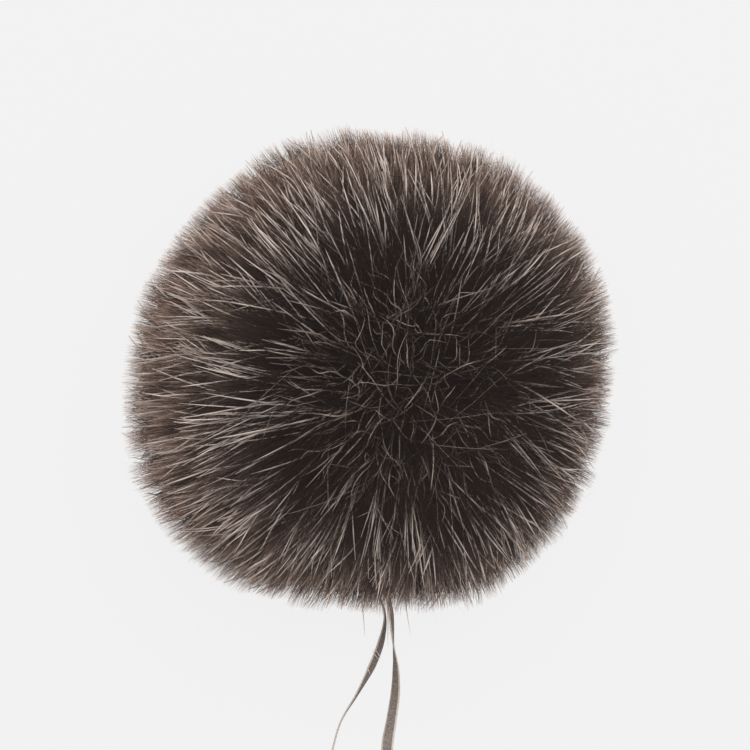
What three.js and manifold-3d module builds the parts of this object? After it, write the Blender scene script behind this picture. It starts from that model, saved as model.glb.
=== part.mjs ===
// A detachable fur pom-pom with two ribbon ties, lying on its side on a table.
// A disc of pelt is gathered into a stuffed pouch; its hair makes the ball. A ribbon is threaded
// through a button inside the pouch, and both its ends leave through the pouch's neck.
//
// Millimetres, +Z up, the table at z = 0 and the ball's centre above the origin. Every piece of the
// ball is made standing on its own axis, crown up and neck down, and is then rolled as one group so
// that the neck points towards -Y and down at the table.

import * as THREE from "three";
import { mergeVertices } from "three/addons/utils/BufferGeometryUtils.js";
import Module from "manifold-3d";

const wasm = await Module();
wasm.setup();

// ---- driving dimensions ----
const FUR_RADIUS = 56; // trimmed tips of the guard hair
const UNDERFUR_RADIUS = 47; // tips of the dense underfur
const PELT_RADIUS = 18; // outside of the stuffed pouch
const PELT_THICKNESS = 1;
const PRESSED = 4; // how far the ball's own weight bends the hair it lies on
const NECK_BELOW_LEVEL = 40; // degrees that the neck points below the horizontal
const GAP = 0.3; // clearance between neighbouring pieces
const FUR_SIDES = 36; // facets round each layer of fur
const POUCH_STEPS = 11; // facets of the pouch and its stuffing, from crown to neck

const NECK_RADIUS = 4; // outside of the gathered neck
const NECK_BORE = 2.8;
const NECK_END = 22; // from the ball's centre to the neck's cut edge
const NECK_BEND = 2.2; // size of the turn from the pouch's wall into its neck
const PLEATS = 12;
const PLEAT_DEPTH = 0.35; // how far a pleat stands out from the neck, and a fold lies in
const PLEATS_BEGIN = 13.6; // below the ball's centre; the pleats deepen from here to the next line
const PLEATS_FULL = 18.5;
const PARTING_ROOT = 8.5; // radius of the parting in the fur beside the neck
const PARTING_TIP = 4.5; // radius of the same parting at the fur's surface

const BUTTON = { radius: 9, thickness: 2, under: -14.1, hole: 1.85, holeOffset: 2.4, rim: 0.5 };
const POCKET = { radius: 9.6, top: -10.4 }; // the hollow in the stuffing that holds the button

const THREAD_RADIUS = 0.3;
const THREAD_SIDES = 6;
const THREAD_FROM_AXIS = NECK_RADIUS + PLEAT_DEPTH + GAP + THREAD_RADIUS;
const WRAP_HEIGHTS = [-19.4, -20.2]; // the two turns of thread round the neck
const STITCH = { height: -21.2, length: 1 };
const KNOT = { radius: 0.9, fromAxis: 6.2, height: -19.8 };
const KNOT_SHAPE = [0.8, 1.2, 1]; // the knot's ball, stretched along X, Y and Z
const THREAD_END = { length: 4, apart: 1.6, splay: 20 }; // splay is each end's lean in degrees

const RIBBON_WIDTH = 3;
const RIBBON_THICKNESS = 0.4;
const RIBBON_STEP = 2.5; // length of ribbon between two cross-sections
const RIBBON_SPACING = 1.6; // between the two ribbons' middles where they leave the ball
const END_SLANT = 1; // how far one corner of the cut end runs past the middle

// One half of the ribbon's held loop, (across, height) on the ball's own axis: from the fur's surface
// through the neck, up through a hole of the button, and over the button to its middle.
const LOOP_HALF = [
  [RIBBON_SPACING / 2, -FUR_RADIUS],
  [RIBBON_SPACING / 2, -38],
  [RIBBON_SPACING / 2, -20],
  [1.1, -17.2],
  [2.2, -14.6],
  [2.4, -12.9],
  [2.2, -12],
  [1.4, -11.35],
];

// The routes of the two free tails over the table, from the fur to the cut end: x, y, z, and the turn
// of the ribbon about its own length in degrees, 0 lying flat and 90 standing on its edge.
const LEFT_ROUTE = [
  [-0.8, -43.2, 15.8, 90],
  [-0.4, -47.5, 12.2, 90],
  [1.2, -53.5, 7.4, 92],
  [3.2, -60, 3.6, 98],
  [2.3, -66.5, 2, 124],
  [0, -72.7, 1.6, 128],
  [-3.7, -79.6, 1.6, 102],
  [-7.5, -86, 1.65, 92],
  [-9.6, -93, 1.65, 90],
  [-12, -105, 1.6, 72],
  [-19, -117, 1, 30],
  [-32, -125, 0.4, 4],
  [-48, -127, 0.3, 0],
  [-63, -124, 0.3, 0],
  [-81, -115, 0.3, 0],
];
const RIGHT_ROUTE = [
  [0.8, -43.2, 15.8, 90],
  [1.2, -47.5, 12.2, 105],
  [3.4, -53.5, 7.4, 112],
  [4.8, -60, 3.6, 115],
  [5.3, -67, 2, 92],
  [5.9, -73, 1.6, 60],
  [5.8, -79, 1.5, 42],
  [4.9, -85.5, 1.3, 34],
  [3.8, -92.5, 0.8, 12],
  [4, -105, 0.35, 0],
  [10, -118, 0.3, 0],
  [23, -126.5, 0.3, 0],
  [39, -128.5, 0.3, 0],
  [56, -125, 0.3, 0],
  [74, -117, 0.3, 0],
];

// ---- colours and finishes ----
const finish = (color, roughness, metalness = 0) => () =>
  new THREE.MeshStandardMaterial({ color, roughness, metalness });
const paleHair = finish("#8d7f78", 0.8);
const darkFur = finish("#2a2321", 0.95);
const skin = finish("#c9b296", 0.85);
const fibrefill = finish("#e9e6df", 0.95);
const buttonPlastic = finish("#1f1d1c", 0.4);
const taupeRibbon = finish("#7a6e67", 0.6);
const blackThread = finish("#1c1a19", 0.7);

// ---- helpers ----
const degrees = THREE.MathUtils.degToRad;

// Points (radius, height) of an arc about the ball's centre; angles in degrees from the crown.
function arc(radius, from, to, steps) {
  return Array.from({ length: steps + 1 }, (_, i) => {
    const angle = degrees(from + ((to - from) * i) / steps);
    return new THREE.Vector2(radius * Math.sin(angle), radius * Math.cos(angle));
  });
}

// Angle from the crown, in degrees, at which a sphere of this radius reaches this distance from the axis
// on its lower half.
const lowAngle = (radius, fromAxis) => 180 - THREE.MathUtils.radToDeg(Math.asin(fromAxis / radius));

// A body of revolution on the upright axis; LatheGeometry turns about Y, so it is stood up onto Z.
function turned(points, segments) {
  return new THREE.LatheGeometry(points, segments).rotateX(Math.PI / 2);
}

function toSolid(geometry) {
  const bare = geometry.clone();
  bare.deleteAttribute("normal");
  bare.deleteAttribute("uv");
  const merged = mergeVertices(bare, 1e-4);
  return new wasm.Manifold(
    new wasm.Mesh({
      numProp: 3,
      vertProperties: new Float32Array(merged.attributes.position.array),
      triVerts: new Uint32Array(merged.index.array),
    }),
  );
}

function fromSolid(solid) {
  const mesh = solid.getMesh();
  const geometry = new THREE.BufferGeometry();
  geometry.setAttribute("position", new THREE.BufferAttribute(mesh.vertProperties, 3));
  geometry.setIndex(new THREE.BufferAttribute(mesh.triVerts, 1));
  return geometry;
}

// Moves every vertex of a geometry to change(vertex).
function reshaped(geometry, change) {
  const position = geometry.attributes.position;
  const vertex = new THREE.Vector3();
  for (let i = 0; i < position.count; i++) {
    vertex.fromBufferAttribute(position, i);
    position.setXYZ(i, ...change(vertex).toArray());
  }
  return geometry;
}

// How the ball lies: rolled so that its neck points forwards and down, and lifted onto the table.
const rolled = new THREE.Matrix4()
  .makeTranslation(0, 0, FUR_RADIUS - PRESSED)
  .multiply(new THREE.Matrix4().makeRotationX(-degrees(90 - NECK_BELOW_LEVEL)));

// ---- the ball ----

// One layer of hair: a thick shell with a parting that lets the neck and the ribbons through.
function furLayer(outer, inner) {
  const partingAt = (radius) =>
    THREE.MathUtils.mapLinear(radius, PELT_RADIUS, FUR_RADIUS, PARTING_ROOT, PARTING_TIP);
  const outside = arc(outer, 0, lowAngle(outer, partingAt(outer)), FUR_SIDES / 2);
  const inside = arc(inner, lowAngle(inner, partingAt(inner)), 0, FUR_SIDES / 2);
  return turned([...outside, ...inside].reverse(), FUR_SIDES);
}

// The outer layer is flattened where the ball lies on the table. The cut is level once the ball is
// rolled, so it is made on the rolled shape, which is then rolled back onto its own axis.
function guardHair() {
  const layer = furLayer(FUR_RADIUS, UNDERFUR_RADIUS + GAP).applyMatrix4(rolled);
  const span = 4 * FUR_RADIUS;
  const aboveTable = new THREE.BoxGeometry(span, span, span).translate(0, 0, span / 2);
  const pressed = toSolid(layer).intersect(toSolid(aboveTable));
  return fromSolid(pressed).applyMatrix4(rolled.clone().invert());
}

const underfur = () => furLayer(UNDERFUR_RADIUS, PELT_RADIUS + GAP);

// The skin pouch: a ball drawn in to a short neck, whose wall is folded into pleats.
function pelt() {
  const inner = PELT_RADIUS - PELT_THICKNESS;
  const bendStart = NECK_RADIUS + NECK_BEND;
  const outside = [
    ...arc(PELT_RADIUS, 0, lowAngle(PELT_RADIUS, bendStart), POUCH_STEPS),
    new THREE.Vector2(NECK_RADIUS + NECK_BEND / 4, -PELT_RADIUS),
    new THREE.Vector2(NECK_RADIUS, -PELT_RADIUS - NECK_BEND / 3),
    new THREE.Vector2(NECK_RADIUS, -NECK_END),
  ];
  const inside = [
    new THREE.Vector2(NECK_BORE, -NECK_END),
    new THREE.Vector2(NECK_BORE, -PELT_RADIUS),
    new THREE.Vector2(NECK_BORE + NECK_BEND / 3, -inner),
    ...arc(inner, lowAngle(inner, bendStart), 0, POUCH_STEPS),
  ];
  const pouch = turned([...outside, ...inside].reverse(), 4 * PLEATS);
  return reshaped(pouch, (v) => {
    const fromAxis = Math.hypot(v.x, v.y);
    if (fromAxis < NECK_BORE / 2) {
      return v; // the crown, which no pleat reaches
    }
    const gathered = THREE.MathUtils.smoothstep(-v.z, PLEATS_BEGIN, PLEATS_FULL);
    const fold = PLEAT_DEPTH * gathered * Math.cos(PLEATS * Math.atan2(v.y, v.x));
    const grow = (fromAxis + fold) / fromAxis;
    return v.set(v.x * grow, v.y * grow, v.z);
  });
}

// The fibrefill ball, with a pocket over the button.
function stuffing() {
  const radius = PELT_RADIUS - PELT_THICKNESS - GAP;
  const outside = arc(radius, 0, lowAngle(radius, POCKET.radius), POUCH_STEPS);
  const pocket = [new THREE.Vector2(POCKET.radius, POCKET.top), new THREE.Vector2(0, POCKET.top)];
  return turned([...outside, ...pocket].reverse(), 2 * PLEATS);
}

// A flat two-hole button with rounded edges.
function anchorButton() {
  const outline = new THREE.Shape().absarc(0, 0, BUTTON.radius - BUTTON.rim, 0, 2 * Math.PI);
  for (const side of [-1, 1]) {
    const across = side * BUTTON.holeOffset;
    outline.holes.push(new THREE.Path().absarc(across, 0, BUTTON.hole + BUTTON.rim, 0, 2 * Math.PI));
  }
  return new THREE.ExtrudeGeometry(outline, {
    depth: BUTTON.thickness - 2 * BUTTON.rim,
    bevelSize: BUTTON.rim,
    bevelThickness: BUTTON.rim,
    bevelSegments: 1,
    curveSegments: 10,
  }).translate(0, 0, BUTTON.under + BUTTON.rim);
}

// A turn of thread drawn round the neck.
function gatherWrap(height) {
  return new THREE.TorusGeometry(THREAD_FROM_AXIS, THREAD_RADIUS, THREAD_SIDES, 2 * PLEATS)
    .translate(0, 0, height);
}

// A short float of thread lying across the crest of one pleat.
function gatherStitch(pleat) {
  return new THREE.CapsuleGeometry(THREAD_RADIUS, STITCH.length, 2, THREAD_SIDES)
    .translate(THREAD_FROM_AXIS, 0, 0)
    .rotateZ((2 * Math.PI * pleat) / PLEATS)
    .translate(0, 0, STITCH.height);
}

// The knot lies against the two turns of thread, and its cut ends hang down from it.
function gatherKnot() {
  return new THREE.SphereGeometry(KNOT.radius, 12, 8)
    .scale(...KNOT_SHAPE)
    .translate(0, KNOT.fromAxis, KNOT.height);
}

function threadEnd(side) {
  return new THREE.CapsuleGeometry(THREAD_RADIUS, THREAD_END.length, 2, THREAD_SIDES)
    .rotateX(Math.PI / 2)
    .translate(0, 0, -THREAD_END.length / 2 - THREAD_RADIUS)
    .rotateY(-side * degrees(THREAD_END.splay))
    .translate((side * THREAD_END.apart) / 2, KNOT.fromAxis, KNOT.height - KNOT.radius - GAP);
}

// ---- the ribbon ----

// A flat strip along a curve: a long box whose cross-sections are moved onto the curve. widthAt gives
// the direction across the strip at a share of the curve, and slant skews the far end's cut.
function strip(curve, widthAt, slant = 0) {
  const steps = Math.round(curve.getLength() / RIBBON_STEP);
  const box = new THREE.BoxGeometry(RIBBON_WIDTH, RIBBON_THICKNESS, 1, 1, 1, steps);
  return reshaped(box, ({ x: across, y: through, z }) => {
    const share = z + 0.5;
    const along = curve.getTangent(share);
    const width = widthAt(share, along).normalize();
    const face = new THREE.Vector3().crossVectors(along, width);
    return curve
      .getPoint(share)
      .addScaledVector(width, across)
      .addScaledVector(face, through)
      .addScaledVector(along, share > 1 - 0.5 / steps ? (slant * across) / RIBBON_WIDTH : 0);
  });
}

// The held middle of the ribbon: in through the neck, over the button and out again.
function ribbonLoop() {
  const rising = LOOP_HALF.map(([x, z]) => new THREE.Vector3(-x, 0, z));
  const falling = LOOP_HALF.map(([x, z]) => new THREE.Vector3(x, 0, z)).reverse();
  const curve = new THREE.CatmullRomCurve3([...rising, ...falling], false, "centripetal");
  return strip(curve, () => new THREE.Vector3(0, 1, 0));
}

// A free tail of the ribbon, which turns about its own length as its route says.
function ribbonTail(route) {
  const curve = new THREE.CatmullRomCurve3(
    route.map(([x, y, z]) => new THREE.Vector3(x, y, z)),
    false,
    "centripetal",
  );
  const up = new THREE.Vector3(0, 0, 1);
  const turnAt = (share) => {
    const place = share * (route.length - 1);
    const before = Math.min(Math.floor(place), route.length - 2);
    return degrees(THREE.MathUtils.lerp(route[before][3], route[before + 1][3], place - before));
  };
  const widthAt = (share, along) =>
    new THREE.Vector3().crossVectors(up, along).applyAxisAngle(along, turnAt(share));
  return strip(curve, widthAt, END_SLANT);
}

// ---- assembly ----

const ball = new THREE.Group();
ball.applyMatrix4(rolled);

const object = new THREE.Group();
object.add(ball);

function add(group, name, geometry, material) {
  const mesh = new THREE.Mesh(geometry, material());
  mesh.name = name;
  group.add(mesh);
}

add(ball, "guard_hair", guardHair(), paleHair);
add(ball, "underfur", underfur(), darkFur);
add(ball, "pelt", pelt(), skin);
add(ball, "stuffing", stuffing(), fibrefill);
add(ball, "anchor_button", anchorButton(), buttonPlastic);
add(ball, "ribbon_loop", ribbonLoop(), taupeRibbon);
WRAP_HEIGHTS.forEach((height, i) => add(ball, `gather_wrap_${i + 1}`, gatherWrap(height), blackThread));
for (let pleat = 0; pleat < PLEATS; pleat++) {
  const number = String(pleat + 1).padStart(2, "0");
  add(ball, `gather_stitch_${number}`, gatherStitch(pleat), blackThread);
}
add(ball, "gather_knot", gatherKnot(), blackThread);
add(ball, "thread_end_1", threadEnd(-1), blackThread);
add(ball, "thread_end_2", threadEnd(1), blackThread);
add(object, "tie_ribbon_left", ribbonTail(LEFT_ROUTE), taupeRibbon);
add(object, "tie_ribbon_right", ribbonTail(RIGHT_ROUTE), taupeRibbon);

export default object;
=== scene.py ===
"""A dark fur pom-pom with two flat ribbon ties, lying on its side on a pale table, seen from above.

The ball is made of thousands of separate hairs on a stuffed pouch: dense underfur over a dark
core, fine hair trimmed to a ball, and long pale guard hairs that lean away from a whorl near the
top. Metres throughout, in the CAD frame: +Z up, the table at z = 0.
"""

import math

import bmesh
import bpy
import numpy as np
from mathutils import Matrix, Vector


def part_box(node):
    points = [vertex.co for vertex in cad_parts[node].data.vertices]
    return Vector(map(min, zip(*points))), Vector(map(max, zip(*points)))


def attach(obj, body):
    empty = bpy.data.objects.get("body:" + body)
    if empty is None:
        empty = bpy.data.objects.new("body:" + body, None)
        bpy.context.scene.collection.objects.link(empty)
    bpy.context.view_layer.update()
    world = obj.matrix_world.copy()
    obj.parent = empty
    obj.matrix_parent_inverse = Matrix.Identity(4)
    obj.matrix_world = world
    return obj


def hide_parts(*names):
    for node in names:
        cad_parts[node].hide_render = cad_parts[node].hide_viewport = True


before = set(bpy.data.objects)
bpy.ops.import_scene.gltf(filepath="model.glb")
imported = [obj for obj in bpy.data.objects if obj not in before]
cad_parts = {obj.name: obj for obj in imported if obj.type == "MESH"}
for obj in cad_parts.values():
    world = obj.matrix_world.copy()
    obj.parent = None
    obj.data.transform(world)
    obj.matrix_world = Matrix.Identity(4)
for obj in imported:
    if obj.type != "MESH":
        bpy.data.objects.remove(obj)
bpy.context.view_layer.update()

MM = 0.001

# ---- the ball ----
FUR_LOW, FUR_HIGH = (np.array(corner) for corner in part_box("guard_hair"))
FUR_RADIUS = (FUR_HIGH[0] - FUR_LOW[0]) / 2
CENTRE = np.array([0, 0, FUR_HIGH[2] - FUR_RADIUS])
CORE_RADIUS = 31 * MM  # deeper than this the underfur is too dense to see into
CORE_UNEVENNESS = 0.02
CORE_OPENING = 0.25  # radians from the neck's axis to the core's edge, at its outside
CORE_OPENING_INSIDE = 0.48
UNDERFUR_RADIUS = 47 * MM
SOFT_FLOOR = 4 * MM  # hair lower than this is bent to lie on the table
NECK_DIP = math.radians(40)  # how far below level the neck points
NECK = np.array([0, -math.cos(NECK_DIP), -math.sin(NECK_DIP)])
PARTING = math.radians(4.5)  # half angle of the gap the ribbons leave through

# The neck's own axes: up to the crown, to the right, and to the front.
CROWN = -NECK
RIGHT = np.array([1.0, 0, 0])
FRONT = np.cross(CROWN, RIGHT)

# ---- the stuffed pouch that the hair grows on ----
PELT_RADIUS = 18 * MM
PELT_THICKNESS = 1 * MM
GAP = 0.3 * MM  # between one piece and the next
NECK_RADIUS = 4 * MM
NECK_BORE = 2.8 * MM  # the radius of the hole through the neck
NECK_END = 22 * MM  # below the ball's middle
NECK_BEND = 6.2 * MM  # from the axis, where the pouch's wall turns into its neck
NECK_STRAIGHT = 2.5 * MM  # the neck's outside is straight for this far above its end
THROAT_STRAIGHT = 3.5 * MM  # and its inside for this far
NECK_DROP = 0.8 * MM  # how far the wall's bend into the neck dips at its corner
THROAT_DROP = 1 * MM  # the same for the bend inside
PLEATS = 12
SIDES_PER_PLEAT = 16
PLEAT_DEPTH = 0.35 * MM
PLEATS_BEGIN = 13.6 * MM  # below the ball's middle, where the creases start to become pleats
PLEATS_FULL = 18.5 * MM  # below the ball's middle, where the pleats are at their deepest
CREASE_DEPTH = 0.7 * MM
CREASE_SHARPNESS = 6
CREASE_WANDER = 0.5  # radians that a crease strays sideways at most
CREASE_WAVE = 8 * MM  # the distance over which it strays
POCKET_RADIUS = 9.6 * MM  # the hollow in the stuffing that holds the button
POCKET_TOP = 10.4 * MM  # below the ball's middle
POCKET_ANGLE = math.radians(42)  # no loose fibre comes this near the neck's axis
LUMP_DEPTH = 0.9 * MM
LUMP_SIZE = 2.5 * MM
FIBRES = 1800
FIBRE_WIDTH = 0.08 * MM

# ---- the coats of hair: how many hairs are spread over the ball, and how wide each one is ----
UNDERFUR_HAIRS = 24000
UNDERFUR_WIDTH = 0.3 * MM
FINE_PIECES = 4
FINE_HAIRS = 18000  # in each piece
FINE_WIDTH = 0.17 * MM
GUARD_TUFTS = 440
GUARD_TUFT_HAIRS = 7
GUARD_LOOSE_HAIRS = 2200
GUARD_TIP_SPREAD = 0.035  # radians, within one tuft
GUARD_ROOT_SPREAD = 0.025
GUARD_BENT_SHARE = 0.08  # of the guard hairs have a sharp bend
GUARD_WIDTHS = (0.32 * MM, 0.54 * MM)
WHORL_HAIRS = 3600
WHORL_WIDTHS = (0.3 * MM, 0.45 * MM)
STRAY_HAIRS = 260
STRAY_WIDTH = 0.09 * MM
SINGLE_WIDTH = 0.25 * MM

# The hair flows away from this point of the ball, and leans over by up to this angle.
WHORL = np.array([0.20, -0.07, 0.98])
LEAN = math.radians(30)
GUARD_LEAN = math.radians(48)
WHORL_RADIUS = math.radians(39.2)  # the kinked hairs stay this near to it
WHORL_TANGLE = 4.0  # how many times more scattered the hair is at the whorl
TANGLE_FOCUS = 16  # the higher, the nearer to the whorl the tangle stays

# The trimmed outline isn't quite round: (lobes round the ball, share of the radius, direction).
TRIM = [
    (1, 0.019, math.radians(-95)),
    (2, 0.022, math.radians(37)),
    (3, 0.009, math.radians(-43)),
    (4, 0.021, math.radians(34)),
    (5, 0.009, math.radians(16)),
    (6, 0.006, math.radians(-13)),
]
TRIM_ROUGHNESS = 0.006  # from hair to hair, as a share of the radius
TUFTS_IN_ALL = 700
TUFT_UNEVENNESS = 0.012  # from tuft to tuft

# ---- the ribbon ties ----
RIBBON_WIDTH = 3 * MM
RIBBON_THICKNESS = 0.4 * MM
RIBBON_STEPS = 120
RIBBON_COLUMNS = 9
RIBBON_UNEVENNESS = 0.01  # of its width, as a share
END_SLANT = 1 * MM

# The routes of the two tails, from the fur to the cut end: x, y and z in metres, and the ribbon's
# turn about its own length in degrees, 0 lying flat and 90 standing on its edge.
LEFT_ROUTE = [
    (-0.0008, -0.0432, 0.0158, 90),
    (-0.0004, -0.0475, 0.0122, 90),
    (0.0012, -0.0535, 0.0074, 92),
    (0.0032, -0.06, 0.0036, 98),
    (0.0023, -0.0665, 0.002, 124),
    (0, -0.0727, 0.0016, 128),
    (-0.0037, -0.0796, 0.0016, 102),
    (-0.0075, -0.086, 0.00165, 92),
    (-0.0096, -0.093, 0.00165, 90),
    (-0.012, -0.105, 0.0016, 72),
    (-0.019, -0.117, 0.001, 30),
    (-0.032, -0.125, 0.0004, 4),
    (-0.048, -0.127, 0.0003, 0),
    (-0.063, -0.124, 0.0003, 0),
    (-0.081, -0.115, 0.0003, 0),
]
RIGHT_ROUTE = [
    (0.0008, -0.0432, 0.0158, 90),
    (0.0012, -0.0475, 0.0122, 105),
    (0.0034, -0.0535, 0.0074, 112),
    (0.0048, -0.06, 0.0036, 115),
    (0.0053, -0.067, 0.002, 92),
    (0.0059, -0.073, 0.0016, 60),
    (0.0058, -0.079, 0.0015, 42),
    (0.0049, -0.0855, 0.0013, 34),
    (0.0038, -0.0925, 0.0008, 12),
    (0.004, -0.105, 0.00035, 0),
    (0.01, -0.118, 0.0003, 0),
    (0.023, -0.1265, 0.0003, 0),
    (0.039, -0.1285, 0.0003, 0),
    (0.056, -0.125, 0.0003, 0),
    (0.074, -0.117, 0.0003, 0),
]

# One half of the ribbon's held loop, from the fur's surface to its middle over the button: how far
# from the neck's axis, and how far up it.
LOOP_HALF = [
    (0.0008, -0.056),
    (0.0008, -0.038),
    (0.0008, -0.02),
    (0.0011, -0.0172),
    (0.0022, -0.0146),
    (0.0024, -0.0129),
    (0.0022, -0.012),
    (0.0014, -0.01135),
]
LOOP_STEPS = 90

# Single hairs caught on the left ribbon, and loose ones over the start of both: where each begins
# and ends.
CAUGHT_HAIR = [
    ((0.0002, -0.0686, 0.0036), (0.0019, -0.0711, 0.0031)),
    ((0.0007, -0.0683, 0.0036), (0.0022, -0.0707, 0.0031)),
    ((-0.0013, -0.0726, 0.0034), (-0.0004, -0.0745, 0.0030)),
]
LOOSE_HAIR = [
    ((0.0036, -0.0500, 0.0450), (0.0038, -0.0655, 0.0400)),
    ((0.0042, -0.0500, 0.0440), (0.0046, -0.0640, 0.0400)),
    ((0.0032, -0.0500, 0.0430), (0.0041, -0.0625, 0.0400)),
    ((-0.0029, -0.0500, 0.0440), (-0.0016, -0.0628, 0.0400)),
    ((0.0078, -0.0500, 0.0440), (0.0092, -0.0622, 0.0410)),
]


# ---- materials ----
# Painted light: the roots are coloured lighter than the dark hair above them, to lift the deep shade
# among them.
DEEP_HAIR = (0.021, 0.0142, 0.0122)
DARK_HAIR = (0.0090, 0.0051, 0.0040)
SHEEN = (1, 0.78, 0.66)  # the warm glint of light off a hair
GLOSS_SPREAD = 0.1  # how much rougher the palest hair is than the middling one


def new_material(name):
    """A material with its nodes, its links and its main shader."""
    material = bpy.data.materials.new(name)
    material.use_nodes = True
    nodes = material.node_tree.nodes
    return material, nodes, material.node_tree.links, nodes["Principled BSDF"]


def ramp(nodes, stops):
    """A colour ramp node with (position, colour) stops."""
    node = nodes.new("ShaderNodeValToRGB")
    elements = node.color_ramp.elements
    while len(elements) < len(stops):
        elements.new(0.5)
    for element, (position, colour) in zip(elements, stops):
        element.position = position
        element.color = (*colour, 1)
    return node


def hair_material(name, stops, roughness, shine):
    """Hair coloured along its length, root to tip, and nearer to plain dark the less pale it is.

    Each strand's UV holds how pale it is in U and the share of its length in V.
    """
    material, nodes, links, shader = new_material(name)
    uv = nodes.new("ShaderNodeUVMap")
    uv.uv_map = STRAND_UV
    split = nodes.new("ShaderNodeSeparateXYZ")
    links.new(uv.outputs["UV"], split.inputs[0])
    along = ramp(nodes, stops)
    links.new(split.outputs["Y"], along.inputs["Fac"])
    # The mix towards plain dark by U is painted shade where U darkens the hair towards the whorl,
    # and each hair's own tone where U varies at random.
    tint = nodes.new("ShaderNodeMix")
    tint.data_type = "RGBA"
    tint.inputs["A"].default_value = (*DARK_HAIR, 1)
    links.new(split.outputs["X"], tint.inputs["Factor"])
    links.new(along.outputs["Color"], tint.inputs["B"])
    links.new(tint.outputs["Result"], shader.inputs["Base Color"])
    gloss = nodes.new("ShaderNodeMapRange")
    gloss.inputs["To Min"].default_value = roughness - GLOSS_SPREAD
    gloss.inputs["To Max"].default_value = roughness + GLOSS_SPREAD
    links.new(split.outputs["X"], gloss.inputs["Value"])
    links.new(gloss.outputs["Result"], shader.inputs["Roughness"])
    shader.inputs["Specular IOR Level"].default_value = shine
    shader.inputs["Specular Tint"].default_value = (*SHEEN, 1)
    return material


def grained_material(name, low, high, scale, roughness, bump):
    """A matte surface mottled between two colours, with a fine raised grain."""
    material, nodes, links, shader = new_material(name)
    place = nodes.new("ShaderNodeTexCoord")
    grain = nodes.new("ShaderNodeTexNoise")
    grain.inputs["Scale"].default_value = scale
    grain.inputs["Detail"].default_value = 6
    links.new(place.outputs["Object"], grain.inputs["Vector"])
    colour = ramp(nodes, [(0.35, low), (0.65, high)])
    links.new(grain.outputs["Fac"], colour.inputs["Fac"])
    links.new(colour.outputs["Color"], shader.inputs["Base Color"])
    raised = nodes.new("ShaderNodeBump")
    raised.inputs["Strength"].default_value = bump
    raised.inputs["Distance"].default_value = 0.1 * MM
    links.new(grain.outputs["Fac"], raised.inputs["Height"])
    links.new(raised.outputs["Normal"], shader.inputs["Normal"])
    shader.inputs["Roughness"].default_value = roughness
    return material


# ---- hair geometry ----
STRAND_UV = "OFBake"
UV_MARGIN = 0.01  # the values along a strand stay this far inside 0 and 1


def unit(vectors):
    """The vectors, each made one long."""
    return vectors / np.linalg.norm(vectors, axis=-1, keepdims=True)


def even_directions(count, jitter, rng):
    """Directions spread evenly over a sphere on a golden spiral, each moved a little at random."""
    i = np.arange(count) + 0.5
    height = 1 - 2 * i / count
    turn = math.pi * (1 + math.sqrt(5)) * i
    across = np.sqrt(1 - height**2)
    points = np.stack([across * np.cos(turn), across * np.sin(turn), height], axis=1)
    return unit(points + rng.normal(0, jitter, points.shape))


def lean_roots(tips, lean, rng, spread):
    """The direction each hair is rooted at: nearer the whorl than its tip is."""
    whorl = unit(WHORL)
    nearness = tips @ whorl
    towards = whorl - nearness[:, None] * tips
    sine = np.linalg.norm(towards, axis=1, keepdims=True)
    angle = lean * sine * rng.uniform(0.6, 1.3, sine.shape)
    roots = tips * np.cos(angle) + towards / np.maximum(sine, 1e-6) * np.sin(angle)
    scatter = spread * (1 + WHORL_TANGLE * np.maximum(nearness, 0) ** TANGLE_FOCUS)
    return unit(roots + rng.normal(0, 1, roots.shape) * scatter[:, None])


def trimmed_radius(directions, rng):
    """How far the scissors left the hair in each direction."""
    round_z = np.arctan2(directions[:, 1], directions[:, 0])
    side_on = 1 - directions[:, 2] ** 2
    uneven = sum(share * np.cos(lobes * (round_z - at)) for lobes, share, at in TRIM)
    rough = rng.normal(0, TRIM_ROUGHNESS, len(directions))
    return FUR_RADIUS * (1 + uneven * side_on + TUFT_LENGTHS[nearest_tuft(directions)] + rough)


def clear_of_neck(directions, angle):
    """Which of the directions are further than the angle from the neck's."""
    return directions @ NECK < math.cos(angle)


def paleness_with_painted_shade(tips, start, end, least, rng):
    """How pale each hair looks, with painted shade: least out to the start angle from the whorl, and
    1 past the end.
    """
    # The darkening towards the whorl is painted shade, where one looks down the hairs into the dark
    # fur; the random factor is each hair's own tone.
    angle = np.degrees(np.arccos(np.clip(tips @ unit(WHORL), -1, 1)))
    share = np.clip((angle - start) / (end - start), 0, 1)
    return (least + (1 - least) * share) * rng.uniform(0.6, 1, len(tips))


def nearest_tuft(directions):
    """Which tuft the hair in each direction belongs to, found in lots to save memory."""
    lots = np.array_split(directions, 16)
    return np.concatenate([np.argmax(lot @ TUFTS.T, axis=1) for lot in lots])


def drawn_together(tips, pull, rng):
    """Tips moved part of the way to the middle of the tuft that each belongs to."""
    share = pull * rng.uniform(0.3, 1, (len(tips), 1))
    return unit(tips * (1 - share) + TUFTS[nearest_tuft(tips)] * share)


def hair_lines(roots, tips, start, end, points, curl, rise=1.0):
    """Centre lines of hairs, (hair, point, xyz), from radius start to radius end, bending over.

    A curl over 1 bends the hair mostly near its tip, and a rise under 1 brings it up to the
    surface early, so that it lies along it.
    """
    along = np.linspace(0, 1, points)[None, :, None]
    over = along**curl
    directions = unit(roots[:, None] * (1 - over) + tips[:, None] * over)
    start, end = (np.broadcast_to(r, len(roots))[:, None, None] for r in (start, end))
    return CENTRE + directions * (start + (end - start) * along**rise)


def bow(lines, amount, rng, bends=1):
    """Curves each hair sideways by about the amount, once or to and fro, in its own direction."""
    count, points, _ = lines.shape
    chord = unit(lines[:, -1] - lines[:, 0])
    sideways = np.cross(chord, rng.normal(size=(count, 3)))
    curve = np.sin(np.linspace(0, bends * math.pi, points)) * rng.normal(0, amount, (count, 1))
    return lines + unit(sideways)[:, None] * curve[..., None]


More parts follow.
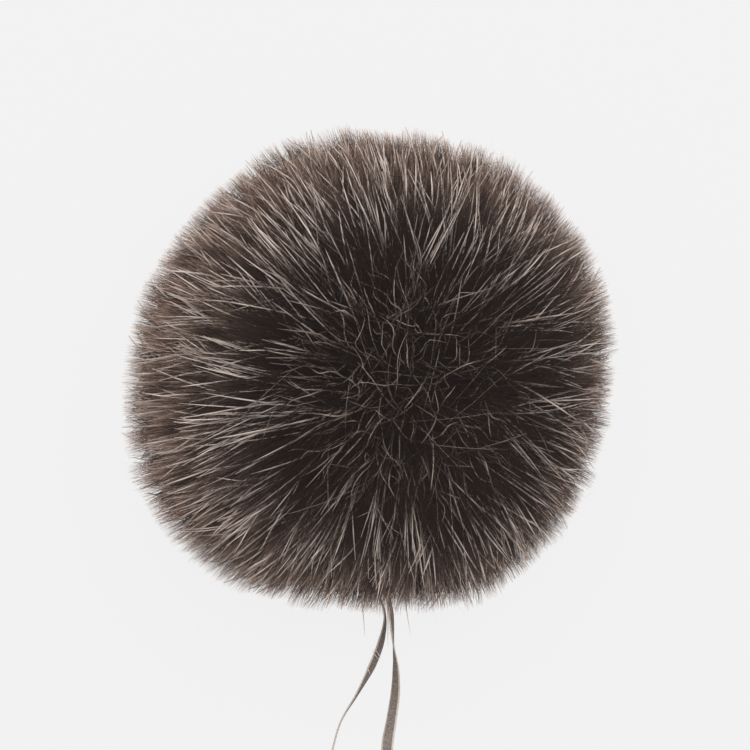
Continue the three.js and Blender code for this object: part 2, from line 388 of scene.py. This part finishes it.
def kink(lines, amount, rng, earliest=0.45):
    """Bends each hair sharply at a point of its own, so that its tip points aside."""
    count, points, _ = lines.shape
    along = np.linspace(0, 1, points)[None]
    at = rng.uniform(earliest, 0.9, (count, 1))
    chord = unit(lines[:, -1] - lines[:, 0])
    aside = unit(np.cross(chord, rng.normal(size=(count, 3))))
    reach = rng.uniform(0.2, 1, (count, 1)) * amount
    return lines + aside[:, None] * (np.maximum(along - at, 0) / (1 - earliest) * reach)[..., None]


def settle(lines):
    """Hair that would pass through the table bends to lie on it."""
    lines = lines.copy()
    height = lines[..., 2]
    low = height < SOFT_FLOOR
    height[low] = SOFT_FLOOR * np.exp((height[low] - SOFT_FLOOR) / SOFT_FLOOR)
    return lines


def strands(name, lines, width, shape, sides, material, rng, node, pale, twist=3.0, body="pompom"):
    """One mesh of many hairs, which replaces a node or a part of it.

    width is each hair's own, or one for all, and shape is the share of it at each point. sides is
    2 for flat hairs, or 3 for ones with a body. pale is how pale each hair is, from 0 to 1. A flat
    hair's face is turned towards the whorl, give or take the twist.
    """
    count, points, _ = lines.shape
    lines = settle(lines)
    along = unit(np.gradient(lines, axis=1))
    level = unit(np.cross(along[:, :1], unit(WHORL)))
    turned = rng.normal(0, twist, (count, 1, 1))
    across = level * np.cos(turned) + np.cross(along[:, :1], level) * np.sin(turned)
    across = unit(across - (across * along).sum(-1, keepdims=True) * along)
    upward = np.cross(along, across)
    turn = 2 * math.pi * np.arange(sides) / sides
    ring = np.cos(turn)[:, None] * across[:, :, None] + np.sin(turn)[:, None] * upward[:, :, None]
    half = 0.5 * np.broadcast_to(width, count)[:, None] * np.asarray(shape)[None]
    vertices = lines[:, :, None] + ring * half[..., None, None]

    index = np.arange(count * points * sides).reshape(count, points, sides)
    walls = sides if sides > 2 else 1
    near = index[:, :, :walls]
    far = np.roll(index, -1, axis=2)[:, :, :walls]
    faces = np.stack([near[:, :-1], far[:, :-1], far[:, 1:], near[:, 1:]], axis=-1).reshape(-1, 4)

    mesh = bpy.data.meshes.new(name)
    mesh.vertices.add(index.size)
    mesh.vertices.foreach_set("co", vertices.astype(np.float32).ravel())
    mesh.loops.add(faces.size)
    mesh.loops.foreach_set("vertex_index", faces.astype(np.int32).ravel())
    mesh.polygons.add(len(faces))
    mesh.polygons.foreach_set("loop_start", np.arange(0, faces.size, 4, dtype=np.int32))
    mesh.polygons.foreach_set("use_smooth", np.ones(len(faces), bool))
    # U is how pale the hair is; for most of the fur it also holds painted shade towards the whorl.
    own = np.broadcast_to(pale[:, None, None], index.shape)
    along_each = np.linspace(UV_MARGIN, 1 - UV_MARGIN, points)
    share = np.broadcast_to(along_each[None, :, None], index.shape)
    uv = np.stack([own, share], axis=-1).reshape(-1, 2)[faces.ravel()]
    mesh.uv_layers.new(name=STRAND_UV).data.foreach_set("uv", uv.astype(np.float32).ravel())
    mesh.update(calc_edges=True)
    mesh.materials.append(material)

    piece = bpy.data.objects.new(name, mesh)
    bpy.context.scene.collection.objects.link(piece)
    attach(piece, body)
    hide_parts(node)


# The middles of the tufts that trimmed hair gathers into, and how much longer each was left.
TUFTS = even_directions(TUFTS_IN_ALL, 0.06, np.random.default_rng(6))
TUFT_LENGTHS = np.random.default_rng(7).normal(0, TUFT_UNEVENNESS, len(TUFTS))


# ---- the pouch and what it holds ----
def round_neck(from_axis, up, turn):
    """Places from their distance from the neck's axis, height up it, and turn round it."""
    outward = np.cos(turn)[..., None] * RIGHT + np.sin(turn)[..., None] * FRONT
    return CENTRE + up[..., None] * CROWN + from_axis[..., None] * outward


def add_turned(name, from_axis, up, turn, material, node):
    """A piece from rings of points round the neck's axis, all three given as (ring, side)."""
    rings, sides = turn.shape
    index = np.arange(rings * sides).reshape(rings, sides)
    beside = np.roll(index, -1, axis=1)
    faces = np.stack([index[:-1], index[1:], beside[1:], beside[:-1]], axis=-1).reshape(-1, 4)
    mesh = bpy.data.meshes.new(name)
    mesh.from_pydata(round_neck(from_axis, up, turn).reshape(-1, 3).tolist(), [], faces.tolist())
    joined = bmesh.new()
    joined.from_mesh(mesh)
    bmesh.ops.remove_doubles(joined, verts=joined.verts, dist=1e-6)
    bmesh.ops.recalc_face_normals(joined, faces=joined.faces)
    joined.to_mesh(mesh)
    joined.free()
    mesh.polygons.foreach_set("use_smooth", np.ones(len(mesh.polygons), bool))
    mesh.materials.append(material)
    piece = bpy.data.objects.new(name, mesh)
    bpy.context.scene.collection.objects.link(piece)
    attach(piece, "pompom")
    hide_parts(node)
    return piece


def arc(radius, start, end, steps):
    """(distance from the neck's axis, height up it) along an arc about the ball's centre."""
    polar = np.linspace(start, end, steps)
    return np.stack([radius * np.sin(polar), radius * np.cos(polar)], axis=1)


def low_angle(radius, from_axis):
    """The angle from the crown at which a sphere's lower half is that far from the axis."""
    return math.pi - math.asin(from_axis / radius)


def rounded(start, corner, end, steps):
    """A smooth bend from start to end that heads for the corner between them."""
    w = np.linspace(0, 1, steps)[1:, None]
    return (1 - w) ** 2 * np.array(start) + 2 * w * (1 - w) * np.array(corner) + w**2 * np.array(end)


def unevenness(places, size, rng):
    """A smooth random value from 0 to 1 at each place, with bumps of about the size."""
    waves = rng.normal(0, 1 / size, (24, 3))
    phases = rng.uniform(0, 2 * math.pi, 24)
    height = np.cos(places @ waves.T + phases).sum(axis=-1) / math.sqrt(24)
    return 0.5 + 0.5 * np.tanh(height)


def around(outline, sides):
    """An outline's distances, heights and turns, each as (ring, side)."""
    turn = np.linspace(0, 2 * math.pi, sides, endpoint=False)
    shape = (len(outline), sides)
    return (
        np.broadcast_to(outline[:, :1], shape).copy(),
        np.broadcast_to(outline[:, 1:], shape).copy(),
        np.broadcast_to(turn, shape),
    )


def build_pouch(rng):
    """The pelt: full and round, with creases that deepen into the pleats of its gathered neck."""
    inner = PELT_RADIUS - PELT_THICKNESS
    wall = arc(PELT_RADIUS, 0, low_angle(PELT_RADIUS, NECK_BEND), steps=48)
    lining = arc(inner, low_angle(inner, NECK_BEND), 0, steps=48)
    corner = (NECK_RADIUS, wall[-1, 1] - NECK_DROP)
    neck = rounded(wall[-1], corner, (NECK_RADIUS, NECK_STRAIGHT - NECK_END), steps=12)
    foot = (NECK_BORE, THROAT_STRAIGHT - NECK_END)
    throat = rounded(foot, (NECK_BORE, lining[0, 1] - THROAT_DROP), lining[0], steps=12)
    edge = np.array([(NECK_RADIUS, -NECK_END), (NECK_BORE, -NECK_END), foot])
    outline = np.concatenate([wall, neck, edge, throat, lining[1:]])
    from_axis, up, turn = around(outline, SIDES_PER_PLEAT * PLEATS)
    gathered = np.clip((-up - PLEATS_BEGIN) / (PLEATS_FULL - PLEATS_BEGIN), 0, 1)
    drawn_in = np.clip(-up / PELT_RADIUS, 0, 1)
    wander = CREASE_WANDER * unevenness(round_neck(from_axis, up, turn), CREASE_WAVE, rng)
    wave = np.cos(PLEATS * (turn + wander * (1 - gathered)))
    crease = np.maximum(wave, 0) ** CREASE_SHARPNESS
    outside = np.arange(len(outline))[:, None] < len(wall) + len(neck)
    from_axis += gathered**2 * PLEAT_DEPTH * np.cos(PLEATS * turn)
    from_axis -= outside * (1 - gathered) * drawn_in * CREASE_DEPTH * crease
    pouch = add_turned("pelt_pouch", from_axis, up, turn, SKIN, "pelt")


def build_stuffing(rng):
    """A lumpy ball of fibrefill with a pocket over the button."""
    radius = PELT_RADIUS - PELT_THICKNESS - GAP
    ball = arc(radius, 0, low_angle(radius, POCKET_RADIUS), steps=60)
    pocket = rounded(ball[-1], (POCKET_RADIUS, -POCKET_TOP), (0, -POCKET_TOP), steps=24)
    outline = np.concatenate([ball, pocket])
    from_axis, up, turn = around(outline, sides=120)
    lumps = LUMP_DEPTH * unevenness(round_neck(from_axis, up, turn), LUMP_SIZE, rng)
    in_pocket = np.arange(len(outline))[:, None] >= len(ball)
    share = 1 - np.where(in_pocket, 0, lumps) / radius
    up = up * share + np.where(in_pocket, lumps, 0)
    filling = add_turned("fibrefill", from_axis * share, up, turn, FIBREFILL, "stuffing")
    build_fibres(radius, rng)


def build_fibres(radius, rng):
    """Loose fibres that lie on the stuffing, none of them outside the radius."""
    starts = even_directions(FIBRES, jitter=0.1, rng=rng)
    ends = unit(starts + rng.normal(0, 0.25, starts.shape))
    clear = clear_of_neck(starts, POCKET_ANGLE) & clear_of_neck(ends, POCKET_ANGLE)
    starts, ends = starts[clear], ends[clear]
    highest = 0.99 * radius
    reach = rng.uniform(0.95, 0.99, len(starts)) * radius
    lines = bow(hair_lines(starts, ends, reach, reach, points=9, curl=1.0), 0.8 * MM, rng)
    outward = lines - CENTRE
    distance = np.linalg.norm(outward, axis=-1, keepdims=True)
    lines = CENTRE + outward * np.minimum(1, highest / distance)
    pale = np.ones(len(starts))
    strands("fibrefill_fibres", lines, FIBRE_WIDTH, np.ones(9), 3, FIBREFILL, rng, "stuffing", pale)


# ---- the fur ----
def build_core(rng):
    """The densest, darkest underfur, as one uneven thick shell open at the neck."""
    outside = arc(CORE_RADIUS, 0, math.pi - CORE_OPENING, steps=48)
    inside = arc(PELT_RADIUS + GAP, math.pi - CORE_OPENING_INSIDE, 0, steps=24)
    from_axis, up, turn = around(np.concatenate([outside, inside]), sides=96)
    uneven = 1 + rng.normal(0, CORE_UNEVENNESS, turn.shape)
    uneven[0] = 1  # the first ring is all one point, the crown
    uneven[len(outside):] = 1  # the inside keeps its gap to the pelt
    add_turned("underfur_core", from_axis * uneven, up * uneven, turn, DARK_MASS, "underfur")


def build_underfur(rng):
    """Short, soft, dark hair that fills the ball between the core and the trimmed hair."""
    tips = even_directions(UNDERFUR_HAIRS, jitter=0.02, rng=rng)
    tips = tips[clear_of_neck(tips, PARTING)]
    roots = lean_roots(tips, LEAN, rng, spread=0.06)
    start = CORE_RADIUS - 1 * MM
    end = rng.uniform(0.82, 1, len(tips)) * UNDERFUR_RADIUS
    lines = bow(hair_lines(roots, tips, start, end, points=4, curl=1.2), 0.5 * MM, rng)
    shape = [1, 0.9, 0.6, 0.1]
    # painted shade: the underfur is coloured darker towards the whorl
    pale = paleness_with_painted_shade(tips, start=30, end=60, least=0.1, rng=rng)
    strands("underfur_hair", lines, UNDERFUR_WIDTH, shape, 2, UNDER_HAIR, rng, "underfur", pale,
            twist=0.5)


def build_fine_hair(rng):
    """Fine hair that reaches the trimmed surface, in several pieces."""
    for part in range(FINE_PIECES):
        spread = even_directions(FINE_HAIRS, jitter=0.03, rng=rng)
        spread = spread[clear_of_neck(spread, PARTING)]
        roots = lean_roots(spread, LEAN, rng, spread=0.05)
        tips = drawn_together(spread, pull=0.45, rng=rng)
        cut_short = np.maximum(rng.random(len(tips)) - 0.5, 0)  # half of the hairs, by 0 to 0.5
        end = trimmed_radius(tips, rng) * (1.03 - 0.2 * cut_short)
        lines = bow(hair_lines(roots, tips, CORE_RADIUS, end, points=5, curl=1.3), 0.5 * MM, rng)
        shape = [1, 1, 0.85, 0.6, 0.1]
        # painted shade: the fine hair is coloured darker towards the whorl
        pale = paleness_with_painted_shade(tips, start=42, end=84, least=0.0, rng=rng)
        strands(f"fine_hair_{part + 1}", lines, FINE_WIDTH, shape, 2, FINE_HAIR, rng, "guard_hair",
                pale, twist=0.5)


def build_guard_hair(rng):
    """Long pale hairs, most of them in small tufts, that lie over the finer hair."""
    tufts = even_directions(GUARD_TUFTS, jitter=0.08, rng=rng)
    tuft_roots = lean_roots(tufts, GUARD_LEAN, rng, spread=0.12)
    in_tufts = np.repeat(tufts, GUARD_TUFT_HAIRS, axis=0)
    tuft_roots = np.repeat(tuft_roots, GUARD_TUFT_HAIRS, axis=0)
    loose = even_directions(GUARD_LOOSE_HAIRS, jitter=0.1, rng=rng)
    tuft_tips = unit(in_tufts + rng.normal(0, GUARD_TIP_SPREAD, in_tufts.shape))
    tips = np.concatenate([tuft_tips, loose])
    roots = np.concatenate([
        unit(tuft_roots + rng.normal(0, GUARD_ROOT_SPREAD, tuft_roots.shape)),
        lean_roots(loose, GUARD_LEAN, rng, spread=0.13),
    ])
    wanted = rng.random(len(tips)) < paleness_with_painted_shade(tips, start=27, end=75, least=0, rng=rng) * 1.5
    keep = clear_of_neck(tips, PARTING) & wanted
    tips, roots = tips[keep], roots[keep]
    end = trimmed_radius(tips, rng) * rng.uniform(0.95, 1.03, len(tips))
    lines = hair_lines(roots, tips, CORE_RADIUS, end, points=9, curl=1.1, rise=0.75)
    lines = bow(lines, 0.8 * MM, rng)
    bent = rng.random(len(tips)) < GUARD_BENT_SHARE
    lines[bent] = kink(lines[bent], 8 * MM, rng)
    width = rng.uniform(*GUARD_WIDTHS, len(tips))
    shape = [0.3, 0.4, 0.6, 0.85, 1, 1, 1, 0.85, 0.3]
    # painted shade: the guard hair is coloured darker towards the whorl
    pale = paleness_with_painted_shade(tips, start=34, end=64, least=0.35, rng=rng)
    strands("guard_hair_long", lines, width, shape, 3, PALE_HAIR, rng, "guard_hair", pale)


def build_whorl_hair(rng):
    """Kinked hairs that cross each other where the fur parts, coloured dimmer as painted shade."""
    tips = even_directions(WHORL_HAIRS, jitter=0.06, rng=rng)
    tips = tips[tips @ unit(WHORL) > math.cos(WHORL_RADIUS)]
    roots = lean_roots(tips, LEAN, rng, spread=0.04)
    tips = drawn_together(tips, pull=0.3, rng=rng)
    start = rng.uniform(0.78, 0.88, len(roots)) * FUR_RADIUS
    end = trimmed_radius(tips, rng) * rng.uniform(0.88, 0.97, len(tips))
    lines = bow(hair_lines(roots, tips, start, end, points=12, curl=1.0), 1.4 * MM, rng)
    lines = bow(lines, 0.7 * MM, rng, bends=3)
    lines = kink(lines, 6 * MM, rng, earliest=0.2)
    lines = kink(lines, 7 * MM, rng, earliest=0.5)
    width = rng.uniform(*WHORL_WIDTHS, len(tips))
    shape = [0.4, 0.6, 0.8, 0.9, 1, 1, 1, 1, 0.9, 0.75, 0.5, 0.15]
    pale = rng.uniform(0.2, 1, len(tips)) ** 1.3
    strands("whorl_hair", lines, width, shape, 3, WHORL_HAIR_WITH_PAINTED_SHADE, rng, "guard_hair", pale)


def build_wisps(rng):
    """A few stray hairs that the scissors missed."""
    tips = even_directions(STRAY_HAIRS, jitter=0.3, rng=rng)
    roots = lean_roots(tips, LEAN, rng, spread=0.15)
    start = 0.8 * FUR_RADIUS
    end = trimmed_radius(tips, rng) * rng.uniform(1.0, 1.07, len(tips))
    lines = bow(hair_lines(roots, tips, start, end, points=7, curl=1.0), 1.5 * MM, rng)
    shape = [1, 1, 0.9, 0.8, 0.6, 0.4, 0.1]
    pale = rng.uniform(0.5, 1, len(tips))
    strands("stray_hair", lines, STRAY_WIDTH, shape, 3, PALE_HAIR, rng, "guard_hair", pale)


def build_single_hairs(name, places, body, node, rng):
    """Pale hairs laid one by one, each bowed a little between its two ends."""
    starts, ends = np.array(places).transpose(1, 0, 2)
    along = np.linspace(0, 1, 8)[None, :, None]
    lines = bow(starts[:, None] + (ends - starts)[:, None] * along, 0.3 * MM, rng)
    shape = [0.4, 0.8, 1, 1, 1, 0.8, 0.6, 0.2]
    pale = np.ones(len(places))
    strands(name, lines, SINGLE_WIDTH, shape, 3, SINGLE_HAIR, rng, node, pale, body=body)


# ---- the ribbons ----
def smooth_route(route, steps):
    """A centripetal Catmull-Rom curve through the route: (places, turns in radians)."""
    knots = np.array(route, float)
    places = knots[:, :3]
    ends = (2 * places[:1] - places[1:2], 2 * places[-1:] - places[-2:-1])
    padded = np.concatenate([ends[0], places, ends[1]])
    out, turns = [], []
    for at in np.linspace(0, len(places) - 1, steps + 1):
        i = min(int(at), len(places) - 2)
        w = at - i
        p = padded[i:i + 4]
        d = np.sqrt(np.linalg.norm(np.diff(p, axis=0), axis=1))
        t1 = d[1] * ((p[1] - p[0]) / d[0] - (p[2] - p[0]) / (d[0] + d[1]) + (p[2] - p[1]) / d[1])
        t2 = d[1] * ((p[2] - p[1]) / d[1] - (p[3] - p[1]) / (d[1] + d[2]) + (p[3] - p[2]) / d[2])
        cubic = (2 * p[1] - 2 * p[2] + t1 + t2) * w**3
        square = (3 * p[2] - 3 * p[1] - 2 * t1 - t2) * w**2
        out.append(p[1] + t1 * w + square + cubic)
        turns.append(math.radians(knots[i, 3] * (1 - w) + knots[i + 1, 3] * w))
    return np.array(out), np.array(turns)


def build_strip(name, centre, across, body, node, rng):
    """A flat ribbon with rounded, slightly uneven edges, along a centre line. The far end is cut."""
    along = unit(np.gradient(centre, axis=0))
    face = np.cross(along, across)
    share = np.linspace(-1, 1, RIBBON_COLUMNS)
    # Full thickness over most of the width, and a thin but not sharp edge.
    half_thick = RIBBON_THICKNESS / 2 * np.sqrt(np.clip(1.02 - share**4, 0, 1))
    outline = [(s, t) for s, t in zip(share, half_thick)]
    outline += [(s, -t) for s, t in zip(share[::-1], half_thick[::-1])]
    vertices = []
    for i, middle in enumerate(centre):
        cut = END_SLANT if i == len(centre) - 1 else 0
        edge = 1 + rng.normal(0, RIBBON_UNEVENNESS)
        for s, t in outline:
            place = middle + across[i] * s * edge * RIBBON_WIDTH / 2 + face[i] * t
            vertices.append(place + along[i] * cut * s / 2)
    ring = len(outline)
    faces = []
    for i in range(len(centre) - 1):
        for j in range(ring):
            k = (j + 1) % ring
            faces.append((i * ring + j, i * ring + k, (i + 1) * ring + k, (i + 1) * ring + j))
    faces.append(tuple(range(ring))[::-1])
    faces.append(tuple((len(centre) - 1) * ring + j for j in range(ring)))

    mesh = bpy.data.meshes.new(name)
    mesh.from_pydata([tuple(v) for v in vertices], [], faces)
    mesh.polygons.foreach_set("use_smooth", np.ones(len(faces), bool))
    mesh.materials.append(RIBBON)
    mesh.materials.append(RIBBON_EDGE)
    # The two sides and the strips of face next to them are coloured lighter than the rest.
    place_round = np.arange(len(faces)) % ring
    last = RIBBON_COLUMNS - 1
    at_edge = np.isin(place_round, [0, last - 1, last, last + 1, ring - 2, ring - 1])
    mesh.polygons.foreach_set("material_index", at_edge.astype(np.int32))
    ribbon = bpy.data.objects.new(name, mesh)
    bpy.context.scene.collection.objects.link(ribbon)
    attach(ribbon, body)
    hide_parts(node)
    return ribbon


def build_tail(node, route, body, rng):
    """A free tail of the ribbon, which turns about its own length as its route says."""
    centre, turns = smooth_route(route, RIBBON_STEPS)
    along = unit(np.gradient(centre, axis=0))
    level = unit(np.cross([0, 0, 1], along))
    rise = np.cross(along, level)
    across = level * np.cos(turns)[:, None] + rise * np.sin(turns)[:, None]
    ribbon = build_strip(f"{node}_ribbon", centre, across, body, node, rng)


def build_loop(rng):
    """The held middle of the ribbon: in through the neck, over the button and out again."""
    sides = [(-x, up) for x, up in LOOP_HALF] + [(x, up) for x, up in LOOP_HALF[::-1]]
    route = [(*(CENTRE + x * RIGHT + up * CROWN), 0) for x, up in sides]
    centre, _ = smooth_route(route, LOOP_STEPS)
    across = np.broadcast_to(FRONT, centre.shape)
    build_strip("ribbon_loop_ribbon", centre, across, "pompom", "ribbon_loop", rng)


# ---- studio ----
WHITE = (1, 1, 1, 1)
PRINT_BLACK = (0.0086, 0.0077, 0.0075)  # the picture's deepest shade is a warm dark grey
TABLE_REACH = 3.0  # from its middle to each edge
TABLE_COLOUR = (0.015, 0.015, 0.015, 1)
TABLE_GLOW = 0.845  # a light table: it glows evenly, so that hardly a shadow shows on it
SURROUND_LIGHT = 0.40
SURROUND_SEEN = 0.87  # as pale as the table
KEY_POWER = 16.3
KEY_WIDTH = 0.7
KEY_PLACE = (0.05, 0.20, 1.05)  # above the ball, a little behind it and to its right
KEY_TURN = (math.radians(-11), math.radians(3), 0)
LENS = 205.7
CAMERA_PLACE = (0.0008, -0.0012, CENTRE[2] + 1.0)


def build_table():
    """A wide pale light table."""
    mesh = bpy.data.meshes.new("table_top")
    far = TABLE_REACH
    corners = [(-far, -far, 0), (far, -far, 0), (far, far, 0), (-far, far, 0)]
    mesh.from_pydata(corners, [], [(0, 1, 2, 3)])
    table = bpy.data.objects.new("table_top", mesh)
    bpy.context.scene.collection.objects.link(table)
    material, _, _, shader = new_material("pale_table")
    shader.inputs["Base Color"].default_value = TABLE_COLOUR
    shader.inputs["Roughness"].default_value = 1
    shader.inputs["Emission Color"].default_value = WHITE
    shader.inputs["Emission Strength"].default_value = TABLE_GLOW
    mesh.materials.append(material)


def build_surroundings():
    """Even white surroundings, which light the ball less than they show."""
    world = bpy.data.worlds.new("studio")
    world.use_nodes = True
    nodes, links = world.node_tree.nodes, world.node_tree.links
    nodes["Background"].inputs["Color"].default_value = WHITE
    strength = nodes.new("ShaderNodeMapRange")
    strength.inputs["To Min"].default_value = SURROUND_LIGHT
    strength.inputs["To Max"].default_value = SURROUND_SEEN
    links.new(nodes.new("ShaderNodeLightPath").outputs["Is Camera Ray"], strength.inputs["Value"])
    links.new(strength.outputs["Result"], nodes["Background"].inputs["Strength"])
    bpy.context.scene.world = world


def set_tones():
    """Plain tones, with black lifted as it is on paper."""
    view = bpy.context.scene.view_settings
    view.view_transform = "Standard"
    view.use_curve_mapping = True
    view.curve_mapping.black_level = [-level for level in PRINT_BLACK]
    view.curve_mapping.update()


def build_key_light():
    """A large, round, soft lamp."""
    lamp = bpy.data.lights.new("key", "AREA")
    lamp.shape = "DISK"
    lamp.size = KEY_WIDTH
    lamp.energy = KEY_POWER
    key = bpy.data.objects.new("key", lamp)
    key.location = KEY_PLACE
    key.rotation_euler = KEY_TURN
    bpy.context.scene.collection.objects.link(key)


def build_camera():
    """Straight above the ball, with the ribbons towards the bottom of the picture."""
    lens = bpy.data.cameras.new("camera")
    lens.sensor_width = 36
    lens.lens = LENS
    lens.dof.use_dof = False
    camera = bpy.data.objects.new("camera", lens)
    camera.location = CAMERA_PLACE
    bpy.context.scene.collection.objects.link(camera)
    bpy.context.scene.camera = camera


# ---- the materials in use ----
# Painted light: the core is coloured lighter than the dark hair, to lift the deep shade it sits in.
DARK_MASS = grained_material(
    "dark_underfur_mass", (0.035, 0.028, 0.025), (0.055, 0.044, 0.040),
    scale=900, roughness=0.95, bump=0.8)
UNDER_HAIR = hair_material(
    "underfur_hair", [
        (0.0, DEEP_HAIR),
        (0.6, DARK_HAIR),
        (1.0, (0.052, 0.033, 0.0265)),
    ], roughness=0.8, shine=0.1)
FINE_HAIR = hair_material(
    "fine_trimmed_hair", [
        (0.0, DEEP_HAIR),
        (0.5, DARK_HAIR),
        (0.85, (0.047, 0.0285, 0.0225)),
        # The last two stops are the hair's pale tips, made paler still as painted light: the glow of
        # the pale backdrop through the fringe at the rim.
        (0.93, (0.160, 0.104, 0.082)),
        (1.0, (0.58, 0.400, 0.310)),
    ], roughness=0.8, shine=0.1)
PALE_HAIR = hair_material(
    "pale_guard_hair", [
        (0.0, DARK_HAIR),
        (0.3, (0.08, 0.063, 0.055)),
        (0.6, (0.38, 0.310, 0.275)),
        (0.9, (0.63, 0.527, 0.470)),
        (1.0, (0.46, 0.368, 0.316)),
    ], roughness=0.6, shine=0.2)
SINGLE_HAIR = hair_material(
    "pale_single_hair", [
        (0.0, (0.62, 0.508, 0.440)),
        (1.0, (0.70, 0.58, 0.51)),
    ], roughness=0.6, shine=0.2)
# Painted shade: the whorl hair, which faces the lamp, is coloured dimmer than the guard hair.
WHORL_HAIR_WITH_PAINTED_SHADE = hair_material(
    "whorl_hair_with_painted_shade", [
        (0.0, DARK_HAIR),
        (0.3, (0.09, 0.068, 0.058)),
        (0.7, (0.26, 0.203, 0.175)),
        (1.0, (0.22, 0.171, 0.147)),
    ], roughness=0.6, shine=0.2)
RIBBON = grained_material(
    "taupe_ribbon", (0.090, 0.073, 0.063), (0.235, 0.192, 0.165),
    scale=2500, roughness=0.85, bump=0.5)
RIBBON_EDGE = grained_material(
    "ribbon_edge", (0.36, 0.30, 0.265), (0.52, 0.445, 0.395),
    scale=2500, roughness=0.85, bump=0.3)
SKIN = grained_material(
    "tanned_skin", (0.42, 0.32, 0.22), (0.60, 0.48, 0.35), scale=1100, roughness=0.8, bump=0.8)
FIBREFILL = grained_material(
    "fibrefill", (0.72, 0.70, 0.65), (0.88, 0.86, 0.82), scale=500, roughness=0.95, bump=1.0)
BUTTON = grained_material(
    "button", (0.02, 0.019, 0.018), (0.05, 0.045, 0.04), scale=200, roughness=0.3, bump=0.1)
THREAD = grained_material(
    "sewing_thread", (0.012, 0.011, 0.01), (0.04, 0.036, 0.033),
    scale=4000, roughness=0.7, bump=0.6)

# Every piece has a seed of its own, so that changing one leaves the others as they are.
build_camera()
build_tail("tie_ribbon_left", LEFT_ROUTE, "tail_left", np.random.default_rng(11))
build_tail("tie_ribbon_right", RIGHT_ROUTE, "tail_right", np.random.default_rng(12))
build_loop(np.random.default_rng(13))
build_pouch(np.random.default_rng(14))
build_stuffing(np.random.default_rng(15))
build_core(np.random.default_rng(1))
build_underfur(np.random.default_rng(2))
build_fine_hair(np.random.default_rng(3))
build_guard_hair(np.random.default_rng(4))
build_whorl_hair(np.random.default_rng(8))
build_wisps(np.random.default_rng(5))
build_single_hairs("loose_hair", LOOSE_HAIR, "pompom", "guard_hair", np.random.default_rng(9))
build_single_hairs(
    "caught_hair", CAUGHT_HAIR, "tail_left", "tie_ribbon_left", np.random.default_rng(10))

# The button and the threads are the CAD's own.
for node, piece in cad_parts.items():
    piece.data.materials.clear()
    piece.data.materials.append(BUTTON if node == "anchor_button" else THREAD)
build_table()
build_surroundings()
set_tones()
build_key_light()
